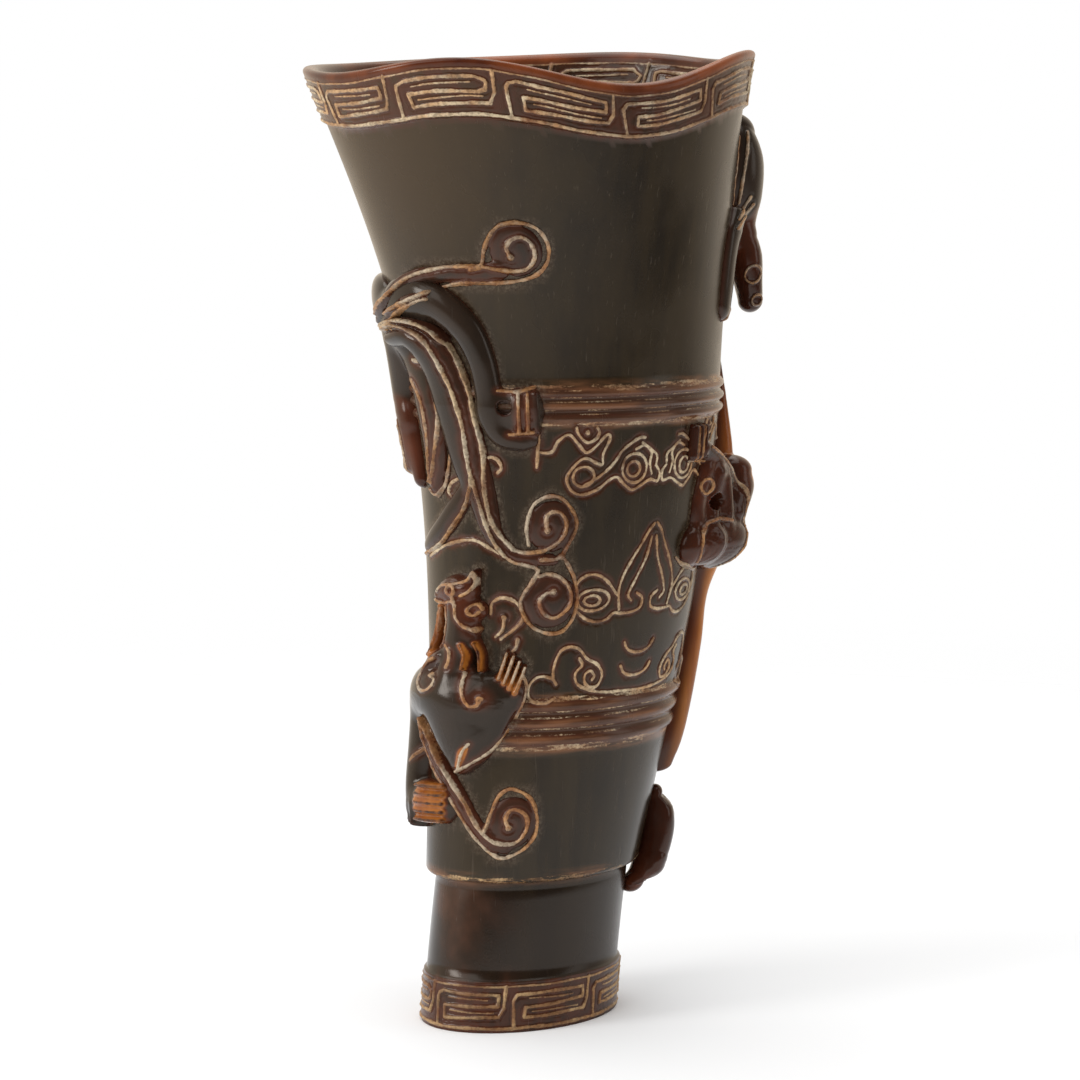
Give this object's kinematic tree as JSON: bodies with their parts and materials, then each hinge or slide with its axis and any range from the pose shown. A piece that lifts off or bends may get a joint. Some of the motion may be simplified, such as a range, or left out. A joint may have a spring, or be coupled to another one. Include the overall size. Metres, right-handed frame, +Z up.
{
  "type": "carved horn beaker",
  "caption": "Tall carved drinking cup of bowed oval horn with a waved flaring mouth, key-fret and ribbed bands, and dragons in relief climbing both ends.",
  "frame": {"origin": "centre of the foot's underside, on the surface the cup stands on", "axes": "+Z up the cup, -Y out of the broad front face, +X to the right end of the oval"},
  "size_m": [0.1004, 0.0838, 0.2018],
  "materials": {
    "dark_horn": "polished dark horn, semi-gloss",
    "carved_horn": "carved reddish-brown horn, semi-gloss",
    "amber_horn": "thin amber-brown horn, semi-gloss"
  },
  "bodies": {
    "root": {"horn_body": "dark_horn", "base_plug": "dark_horn", "upper_left_dragon": "carved_horn", "upper_left_plume": "carved_horn", "upper_left_tail": "carved_horn", "lower_left_dragon": "carved_horn", "lower_left_tail": "carved_horn", "upper_right_dragon": "carved_horn", "lower_right_dragon": "amber_horn", "lower_right_tail": "carved_horn"}
  },
  "joints": []
}
